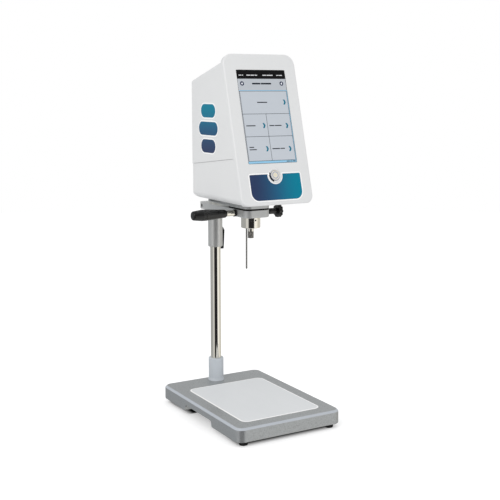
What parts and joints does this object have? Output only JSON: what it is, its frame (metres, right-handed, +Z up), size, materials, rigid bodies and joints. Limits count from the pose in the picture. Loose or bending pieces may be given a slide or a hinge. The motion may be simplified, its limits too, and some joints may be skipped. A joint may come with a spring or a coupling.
{
  "type": "rotational viscometer",
  "caption": "Bench rotational viscometer: leaning touch-screen head on an arm that slides and swivels on a steel column over a flat base, with a turning spindle coupling and probe.",
  "frame": {"origin": "on the bench, under the middle of the whole instrument's bounding box", "axes": "+X to the right of someone reading the screen, +Y to the rear, +Z up"},
  "size_m": [0.2066, 0.2846, 0.6189],
  "materials": {
    "base_paint": "satin grey paint",
    "mat": "fine matt",
    "black_rubber": "matt",
    "steel_screws": "bright zinc",
    "collar_paint": "pale satin",
    "polished_steel": "polished",
    "sleeve_metal": "satin",
    "liner_plastic": "plain",
    "arm_metal": "satin",
    "block_metal": "satin",
    "plate_metal": "satin",
    "dark_sheet": "matt",
    "black_plastic": "fine grain",
    "knurled_steel": "knurled",
    "probe_steel": "ground",
    "white_plastic": "satin moulded",
    "screen_glass": "gloss",
    "display": "display",
    "panel_foil": "foil",
    "button_plastic": "satin",
    "dark_parts": "moulded",
    "chassis_steel": "zinc",
    "motor_can": "painted",
    "bearing_alloy": "turned",
    "circuit_board": "solder mask"
  },
  "bodies": {
    "stand": {"base_casting": "base_paint", "bench_mat": "mat", "rubber_feet": "black_rubber", "foot_screws": "steel_screws", "column_collar": "collar_paint", "column_rod": "polished_steel", "column_washer": "steel_screws", "column_bolt": "steel_screws", "column_cap": "black_plastic"},
    "liner": {"sleeve_liner": "liner_plastic"},
    "carriage": {"clamp_sleeve": "sleeve_metal", "clamp_stud": "steel_screws", "clamp_nut": "steel_screws", "support_arm": "arm_metal", "arm_set_screw": "steel_screws", "arm_gasket": "dark_sheet", "foot_block": "block_metal", "mount_plate": "plate_metal", "mount_screws": "steel_screws", "measuring_ring": "polished_steel", "ring_grub_screw": "steel_screws", "probe_holder": "liner_plastic", "temperature_probe": "probe_steel", "handle_seat": "black_plastic", "handle_rod": "polished_steel", "handle_grip": "black_plastic", "handle_end_cap": "black_plastic", "housing_shell": "white_plastic", "housing_tray": "white_plastic", "front_bezel": "white_plastic", "touch_glass": "screen_glass", "display_module": "display", "accent_panel": "panel_foil", "button_bezel": "polished_steel", "button_switch": "dark_parts", "chassis_plate": "chassis_steel", "bearing_housing": "bearing_alloy", "spindle_bearings": "chassis_steel", "motor_posts": "chassis_steel", "motor_plate": "chassis_steel", "drive_motor": "motor_can", "encoder_reader": "dark_parts", "board_standoffs": "chassis_steel", "main_board": "circuit_board", "power_inlet": "dark_parts", "data_port": "dark_parts"},
    "spindle": {"spindle_shaft": "probe_steel", "spindle_coupling": "polished_steel", "coupling_nut": "knurled_steel", "encoder_disc": "bearing_alloy", "drive_hub": "bearing_alloy", "motor_shaft": "probe_steel"},
    "clamp_lever": {"clamp_lever": "black_plastic"},
    "lock_knob": {"lock_knob": "black_plastic", "lock_stud": "knurled_steel"},
    "power_button": {"button_cap": "button_plastic"}
  },
  "joints": [
    {"name": "column_slide", "type": "slide", "parent": "stand", "child": "liner", "axis": [0, 0, 1], "range_m": [-0.2, 0.15]},
    {"name": "column_swivel", "type": "hinge", "parent": "liner", "child": "carriage", "pos_m": [0.00335, 0.11775, 0.2815], "axis": [0, 0, 1], "range_deg": [-180, 180]},
    {"name": "spindle_turn", "type": "hinge", "parent": "carriage", "child": "spindle", "pos_m": [0.00335, -0.00975, 0.3135], "axis": [0, 0, 1], "continuous": true},
    {"name": "clamp_lever_turn", "type": "hinge", "parent": "carriage", "child": "clamp_lever", "pos_m": [0.0121, 0.1329, 0.308], "axis": [0.866, -0.5, 0], "range_deg": [0, 120]},
    {"name": "lock_knob_turn", "type": "hinge", "parent": "carriage", "child": "lock_knob", "pos_m": [0.05435, -0.00975, 0.35675], "axis": [1, 0, 0], "range_deg": [-360, 360]},
    {"name": "power_button_press", "type": "slide", "parent": "carriage", "child": "power_button", "axis": [0, 0.9636, -0.2672], "range_m": [0, 0.0015], "stiffness_N_per_m": 600, "springref_m": -0.001}
  ]
}
